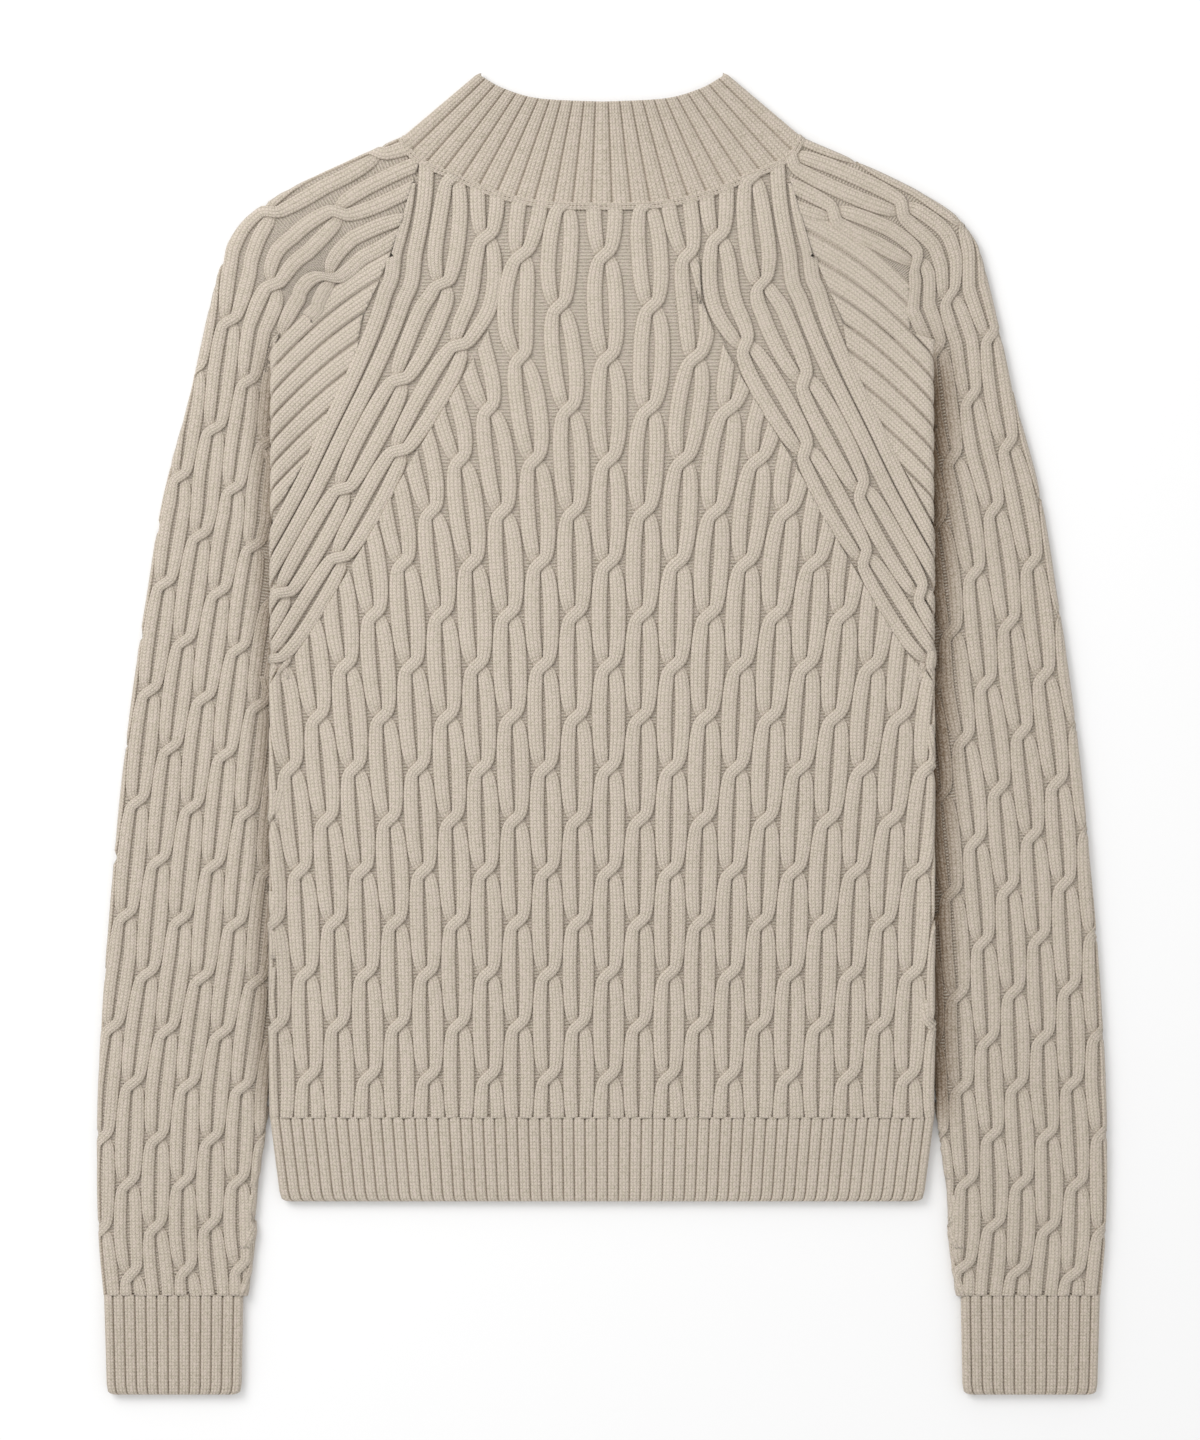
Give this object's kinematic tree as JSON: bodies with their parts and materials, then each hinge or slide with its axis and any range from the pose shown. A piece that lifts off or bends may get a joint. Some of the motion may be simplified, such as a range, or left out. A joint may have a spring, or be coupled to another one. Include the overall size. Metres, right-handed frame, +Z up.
{
  "type": "cable knit sweater",
  "caption": "Mock-neck raglan pullover with cables all over, laid flat with its back up and its sleeves down at the sides.",
  "frame": {"origin": "on the surface the garment lies on, under the middle of its outline", "axes": "+X across the garment towards the sleeve on the right of the view, +Y from the cuffs to the neck, +Z up out of the surface"},
  "size_m": [0.606, 0.7913, 0.0116],
  "materials": {
    "cable_knit": "matt woollen cable knit",
    "rib_knit": "matt woollen rib knit"
  },
  "bodies": {
    "root": {"back_panel": "cable_knit", "front_panel": "cable_knit", "sleeve_left": "cable_knit", "sleeve_right": "cable_knit", "collar": "rib_knit", "back_hem": "rib_knit", "front_hem": "rib_knit", "cuff_left": "rib_knit", "cuff_right": "rib_knit"}
  },
  "joints": []
}
